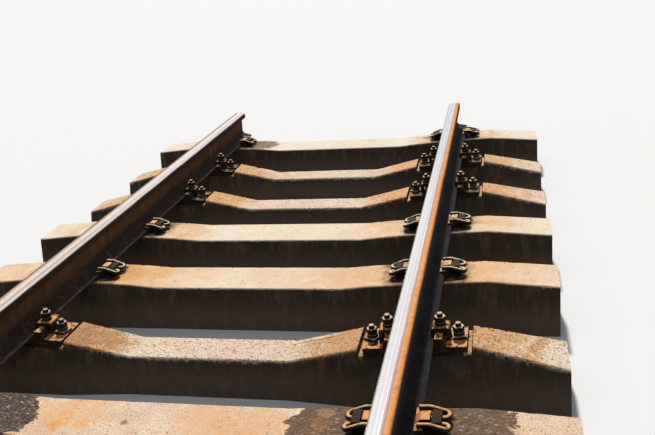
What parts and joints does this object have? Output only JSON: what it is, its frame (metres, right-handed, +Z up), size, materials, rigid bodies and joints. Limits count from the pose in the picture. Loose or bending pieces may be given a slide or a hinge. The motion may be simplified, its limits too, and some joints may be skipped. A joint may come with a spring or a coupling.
{
  "type": "railway track panel",
  "caption": "Straight length of railway track: flat-bottomed rails on concrete sleepers of two kinds, with spring clip and bolted baseplate fastenings.",
  "frame": {"origin": "floor level under the sleepers, midway between the rails and at the middle of the rails' length", "axes": "+X across the track to the right rail, +Y along the track away from the near end, +Z up"},
  "size_m": [2.7, 3.815, 0.4062],
  "materials": {
    "rail_steel": "rusty sides, bright running band on the head",
    "smooth_concrete": "crisp pale concrete, rust stained near the rails",
    "coarse_concrete": "worn concrete with open grain, rust stained",
    "pad_rubber": "matt and dusty",
    "fastening_iron": "rusty",
    "spring_steel": "rusty",
    "plate_steel": "rusty",
    "bolt_steel": "dark and rusty"
  },
  "bodies": {
    "root": {"rail_left": "rail_steel", "rail_right": "rail_steel", "sleeper_1": "smooth_concrete", "rail_pads_1": "pad_rubber", "clip_blocks_1": "fastening_iron", "clip_anchors_1": "fastening_iron", "spring_clips_1": "spring_steel", "sleeper_2": "coarse_concrete", "seat_pads_2": "pad_rubber", "baseplates_2": "plate_steel", "rail_pads_2": "pad_rubber", "clamps_2": "plate_steel", "clamp_bolts_2": "bolt_steel", "anchor_bolts_2": "bolt_steel", "sleeper_3": "smooth_concrete", "rail_pads_3": "pad_rubber", "clip_blocks_3": "fastening_iron", "clip_anchors_3": "fastening_iron", "spring_clips_3": "spring_steel", "sleeper_4": "smooth_concrete", "rail_pads_4": "pad_rubber", "clip_blocks_4": "fastening_iron", "clip_anchors_4": "fastening_iron", "spring_clips_4": "spring_steel", "sleeper_5": "coarse_concrete", "seat_pads_5": "pad_rubber", "baseplates_5": "plate_steel", "rail_pads_5": "pad_rubber", "clamps_5": "plate_steel", "clamp_bolts_5": "bolt_steel", "anchor_bolts_5": "bolt_steel", "sleeper_6": "coarse_concrete", "seat_pads_6": "pad_rubber", "baseplates_6": "plate_steel", "rail_pads_6": "pad_rubber", "clamps_6": "plate_steel", "clamp_bolts_6": "bolt_steel", "anchor_bolts_6": "bolt_steel", "sleeper_7": "smooth_concrete", "rail_pads_7": "pad_rubber", "clip_blocks_7": "fastening_iron", "clip_anchors_7": "fastening_iron", "spring_clips_7": "spring_steel"}
  },
  "joints": []
}
